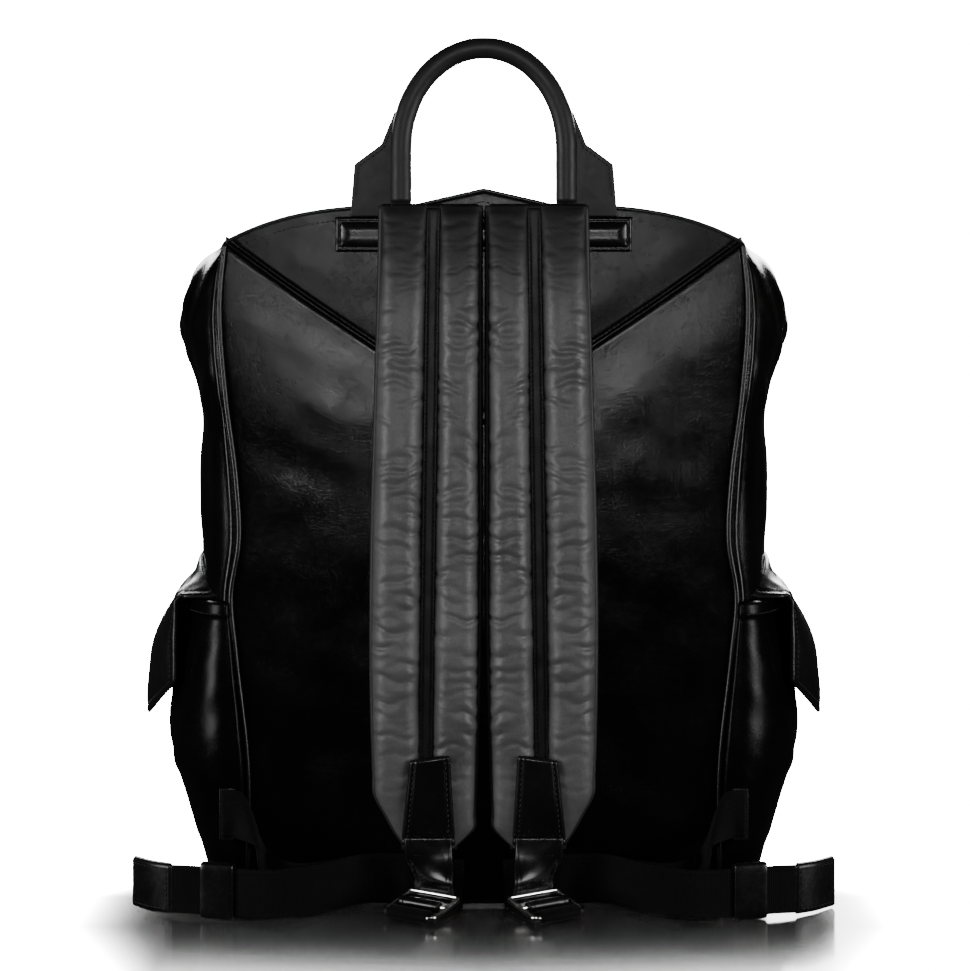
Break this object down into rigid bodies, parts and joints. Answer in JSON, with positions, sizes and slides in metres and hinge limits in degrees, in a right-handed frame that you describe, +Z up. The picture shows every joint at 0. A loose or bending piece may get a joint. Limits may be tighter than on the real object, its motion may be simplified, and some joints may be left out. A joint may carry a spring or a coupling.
{
  "type": "leather backpack",
  "caption": "Soft leather backpack with padded shoulder straps, rolled top handle, zip mouth and flapped bellows pockets",
  "frame": {"origin": "middle of the base, on the surface that the bag stands on", "axes": "+Z up, +Y from the wearer's back towards the front pocket, +X to the right when the straps are seen"},
  "size_m": [0.4566, 0.2733, 0.562],
  "materials": {
    "pebbled_leather": "black glossy pebble-grained leather",
    "smooth_leather": "black smooth full-grain leather, semi-gloss",
    "strap_leather": "black soft padded leather, semi-gloss, finely wrinkled",
    "padding": "foam padding inside the leather",
    "lining_fabric": "dark woven lining cloth",
    "stiffener": "stiff board under the lining",
    "zip_tape": "black woven zip tape with metal teeth",
    "zip_metal": "polished nickel",
    "nickel": "polished nickel",
    "webbing": "black ribbed woven webbing"
  },
  "bodies": {
    "bag": {"back_panel": "pebbled_leather", "back_yoke": "smooth_leather", "back_foam": "padding", "front_panel": "pebbled_leather", "front_yoke": "smooth_leather", "gussets": "pebbled_leather", "base_panel": "pebbled_leather", "base_board": "stiffener", "lining": "lining_fabric", "back_piping": "pebbled_leather", "hem_bindings": "pebbled_leather", "top_frame": "pebbled_leather", "handle_roots": "smooth_leather", "handle_patch": "smooth_leather", "side_pocket_left": "pebbled_leather", "side_pocket_right": "pebbled_leather", "front_pocket": "pebbled_leather", "pocket_hems": "smooth_leather", "snap_sockets": "nickel", "flap_roots": "smooth_leather", "strap_roots": "smooth_leather", "webbing_left": "webbing", "webbing_right": "webbing", "webbing_tips": "smooth_leather", "anchor_tabs": "smooth_leather"},
    "zip_back": {"zip_facing_back": "smooth_leather", "zip_tape_back": "zip_tape"},
    "zip_front": {"zip_facing_front": "smooth_leather", "zip_tape_front": "zip_tape"},
    "slider": {"zip_slider": "zip_metal"},
    "pull": {"zip_pull": "zip_metal"},
    "handle": {"handle_grip": "smooth_leather", "handle_core": "padding", "handle_wings": "smooth_leather"},
    "flap_front": {"front_flap": "smooth_leather", "snap_cap_front": "nickel"},
    "flap_left": {"side_flap_left": "smooth_leather", "snap_cap_left": "nickel"},
    "strap_left": {"strap_outer_pad_left": "strap_leather", "strap_inner_pad_left": "strap_leather", "strap_foam_left": "padding", "strap_base_left": "strap_leather", "strap_patch_left": "smooth_leather"},
    "buckle_left": {"buckle_left": "nickel", "strap_band_left": "smooth_leather", "webbing_loop_left": "webbing", "webbing_lead_left": "webbing"},
    "keeper_left": {"keeper_left": "smooth_leather"},
    "flap_right": {"side_flap_right": "smooth_leather", "snap_cap_right": "nickel"},
    "strap_right": {"strap_outer_pad_right": "strap_leather", "strap_inner_pad_right": "strap_leather", "strap_foam_right": "padding", "strap_base_right": "strap_leather", "strap_patch_right": "smooth_leather"},
    "buckle_right": {"buckle_right": "nickel", "strap_band_right": "smooth_leather", "webbing_loop_right": "webbing", "webbing_lead_right": "webbing"},
    "keeper_right": {"keeper_right": "smooth_leather"}
  },
  "joints": [
    {"name": "mouth_back_lift", "type": "hinge", "parent": "bag", "child": "zip_back", "pos_m": [0, -0.06, 0.4215], "axis": [1, 0, 0], "range_deg": [0, 60]},
    {"name": "mouth_front_lift", "type": "hinge", "parent": "bag", "child": "zip_front", "pos_m": [0, 0.043, 0.4215], "axis": [-1, 0, 0], "range_deg": [0, 80]},
    {"name": "zip_slide", "type": "slide", "parent": "bag", "child": "slider", "axis": [1, 0, 0], "range_m": [0, 0.26]},
    {"name": "pull_lift", "type": "hinge", "parent": "slider", "child": "pull", "pos_m": [-0.13, -0.0088, 0.4264], "axis": [0, 1, 0], "range_deg": [0, 150]},
    {"name": "handle_tilt", "type": "hinge", "parent": "bag", "child": "handle", "pos_m": [0, -0.076, 0.456], "axis": [-1, 0, 0], "range_deg": [-15, 60]},
    {"name": "front_flap_lift", "type": "hinge", "parent": "bag", "child": "flap_front", "pos_m": [0, 0.088, 0.211], "axis": [1, 0, 0], "range_deg": [0, 95]},
    {"name": "side_flap_left_lift", "type": "hinge", "parent": "bag", "child": "flap_left", "pos_m": [-0.198, 0, 0.203], "axis": [0, 1, 0], "range_deg": [0, 110]},
    {"name": "strap_left_swing", "type": "hinge", "parent": "bag", "child": "strap_left", "pos_m": [-0.035, -0.08035, 0.452], "axis": [-1, 0, 0], "range_deg": [0, 8], "deforming": ["webbing_lead_left"]},
    {"name": "buckle_left_tilt", "type": "hinge", "parent": "strap_left", "child": "buckle_left", "pos_m": [-0.0356, -0.0993, 0.0418], "axis": [-1, 0, 0], "range_deg": [0, 60], "deforming": ["webbing_lead_left"]},
    {"name": "keeper_left_slide", "type": "slide", "parent": "bag", "child": "keeper_left", "axis": [-0.9608, 0.2773, 0], "range_m": [-0.007, 0.007]},
    {"name": "side_flap_right_lift", "type": "hinge", "parent": "bag", "child": "flap_right", "pos_m": [0.198, 0, 0.203], "axis": [0, -1, 0], "range_deg": [0, 110]},
    {"name": "strap_right_swing", "type": "hinge", "parent": "bag", "child": "strap_right", "pos_m": [0.035, -0.08035, 0.452], "axis": [-1, 0, 0], "range_deg": [0, 8], "deforming": ["webbing_lead_right"]},
    {"name": "buckle_right_tilt", "type": "hinge", "parent": "strap_right", "child": "buckle_right", "pos_m": [0.0356, -0.0993, 0.0418], "axis": [-1, 0, 0], "range_deg": [0, 60], "deforming": ["webbing_lead_right"]},
    {"name": "keeper_right_slide", "type": "slide", "parent": "bag", "child": "keeper_right", "axis": [0.9608, 0.2773, 0], "range_m": [-0.007, 0.007]}
  ]
}
